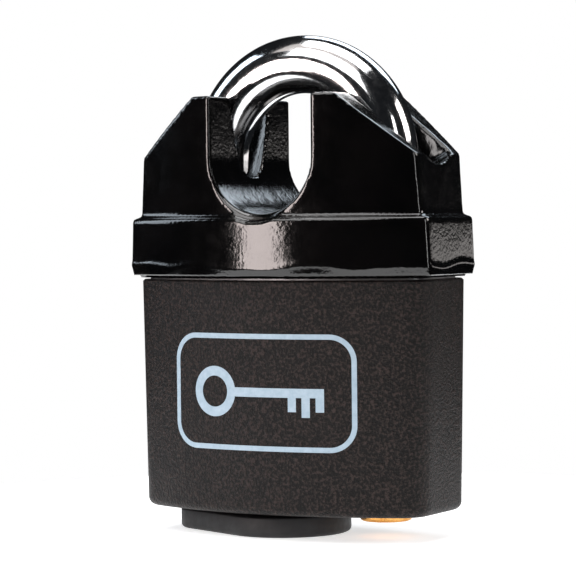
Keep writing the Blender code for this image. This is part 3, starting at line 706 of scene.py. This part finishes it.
def finish_inner_parts():
    """Give each CAD node that stays its own finish."""
    even = (1.0, 1.0, 1.0)
    finishes = {
        "cast_zinc": metal("cast_zinc", (0.28, 0.28, 0.29), (0.40, 0.40, 0.41),
                           0.4, 0.6, 300.0, even, 0.4),
        "steel": metal("machined_steel", (0.42, 0.42, 0.44), (0.55, 0.55, 0.57), 0.22, 0.38),
        "hard_steel": metal("hard_steel", (0.22, 0.22, 0.24), (0.33, 0.33, 0.35), 0.25, 0.42),
        "spring_steel": metal("spring_steel", (0.34, 0.34, 0.37), (0.48, 0.48, 0.50), 0.2, 0.36, 900.0),
        "ball_steel": metal("ball_steel", (0.62, 0.62, 0.64), (0.72, 0.72, 0.73),
                            0.06, 0.12, 300.0, even, 0.04),
        "zinc_plated": metal("zinc_plated", (0.50, 0.51, 0.53), (0.62, 0.62, 0.63), 0.25, 0.4, 500.0),
        "brass_inner": metal("inner_brass", (0.60, 0.38, 0.14), (0.76, 0.52, 0.22), 0.25, 0.42),
    }
    slots = {row["node"]: row["material_slot"] for row in frame["record"]["subparts"]}
    for name, node in frame["nodes"].items():
        if node.hide_render:
            continue
        node.data.materials.clear()
        node.data.materials.append(finishes[slots[name]])
    return finishes


# ---------------------------------------------------------------- studio

def make_floor():
    """Small pale disc, bright enough to run into the white behind it."""
    radius = 115.0
    floor = solid("floor", loft([circle(radius, -3.0, count=96), circle(radius, -0.05, count=96)]))
    made = Surface("floor_paper", specular_ior_level=0.1, emission_strength=0.66)
    made.shader.inputs["Emission Color"].default_value = (1.0, 1.0, 1.0, 1.0)
    made.colour(made.spread(made.noise(30.0, 3.0), 0, 1), (0.90, 0.90, 0.90), (0.95, 0.95, 0.95))
    made.roughness(made.spread(made.noise(200.0, 3.0), 0.8, 0.95))
    floor.data.materials.append(made.material)


def make_world():
    """Plain white behind the lock, a dim studio in everything it reflects."""
    world = bpy.data.worlds.new("studio")
    world.use_nodes = True
    bpy.context.scene.world = world
    nodes, links = world.node_tree.nodes, world.node_tree.links
    nodes.clear()
    path = nodes.new("ShaderNodeLightPath")
    white, dim = nodes.new("ShaderNodeBackground"), nodes.new("ShaderNodeBackground")
    white.inputs["Color"].default_value = (1.0, 1.0, 1.0, 1.0)
    white.inputs["Strength"].default_value = 1.0
    dim.inputs["Color"].default_value = (0.80, 0.88, 1.0, 1.0)
    dim.inputs["Strength"].default_value = 0.01
    choose, out = nodes.new("ShaderNodeMixShader"), nodes.new("ShaderNodeOutputWorld")
    links.new(path.outputs["Is Camera Ray"], choose.inputs[0])
    links.new(dim.outputs[0], choose.inputs[1])
    links.new(white.outputs[0], choose.inputs[2])
    links.new(choose.outputs[0], out.inputs["Surface"])


def softbox(name, azimuth, elevation, distance, width, height, watts, colour=(1.0, 1.0, 1.0), aim=0.05):
    """Area light placed round the lock like a view: azimuth 0 is in front."""
    a, e = math.radians(azimuth), math.radians(elevation)
    light = bpy.data.lights.new(name, "AREA")
    light.shape = "RECTANGLE"
    light.size, light.size_y = width, height
    light.energy = watts
    light.color = colour
    lamp = bpy.data.objects.new(name, light)
    lamp.location = (math.sin(a) * math.cos(e) * distance, -math.cos(a) * math.cos(e) * distance,
                     math.sin(e) * distance + aim)
    towards = Vector((0, 0, aim)) - lamp.location
    lamp.rotation_euler = towards.to_track_quat("-Z", "Y").to_euler()
    bpy.context.scene.collection.objects.link(lamp)
    return lamp


def make_lights():
    softbox("overhead", 0, 90, 0.9, 0.7, 0.5, 5.0)
    softbox("front_fill", -25, 62, 1.2, 1.0, 0.6, 1.3, (1.0, 0.92, 0.88))
    softbox("front_left_strip", -27, 0, 0.7, 0.19, 0.5, 2.9, (1.0, 0.88, 0.85))
    softbox("front_high", -12, 48, 0.7, 0.5, 0.35, 1.8)
    softbox("right_strip", 66, 4, 0.7, 0.08, 0.7, 1.0)
    softbox("right_side", 118, 26, 0.8, 0.3, 0.35, 2.2, (1.0, 0.95, 0.92))
    softbox("back_right_panel", 150, -1, 0.8, 0.5, 0.09, 0.16, (1.0, 0.95, 0.92))
    softbox("left_side", -80, 25, 0.9, 0.35, 0.6, 2.0, (0.80, 0.90, 1.0))
    softbox("back_high", 186, 42, 0.9, 0.7, 0.35, 2.2, (0.80, 0.90, 1.0))


def make_camera():
    """Long lens, a little right of the front and level with the body's upper half."""
    yaw, pitch, roll = math.radians(29.42), math.radians(1.62), math.radians(-0.60)
    distance, focal = 0.49448, 162.8
    target = Vector((-2.81 * MM, 0.0, 46.23 * MM))
    back = Vector((math.sin(yaw) * math.cos(pitch), -math.cos(yaw) * math.cos(pitch), math.sin(pitch)))
    level = Vector((math.cos(yaw), math.sin(yaw), 0.0))
    rise = back.cross(level)
    right = level * math.cos(roll) + rise * math.sin(roll)
    up = rise * math.cos(roll) - level * math.sin(roll)
    data = bpy.data.cameras.new("camera")
    data.sensor_width = 36.0
    data.lens = focal
    data.clip_start, data.clip_end = 0.01, 20.0
    camera = bpy.data.objects.new("camera", data)
    turn = Matrix((right, up, back)).transposed().to_4x4()
    camera.matrix_world = Matrix.Translation(target + back * distance) @ turn
    bpy.context.scene.collection.objects.link(camera)
    bpy.context.scene.camera = camera


def main():
    make_jacket(jacket_plastic())
    make_guard(guard_paint())
    make_shackle(chrome())
    make_cover(cover_plastic())
    make_plug(plug_brass())
    make_emblem(ink())
    finishes = finish_inner_parts()
    make_rivet(finishes["zinc_plated"])
    make_floor()
    make_world()
    make_lights()
    make_camera()
    bpy.context.scene.view_settings.view_transform = "Standard"


main()
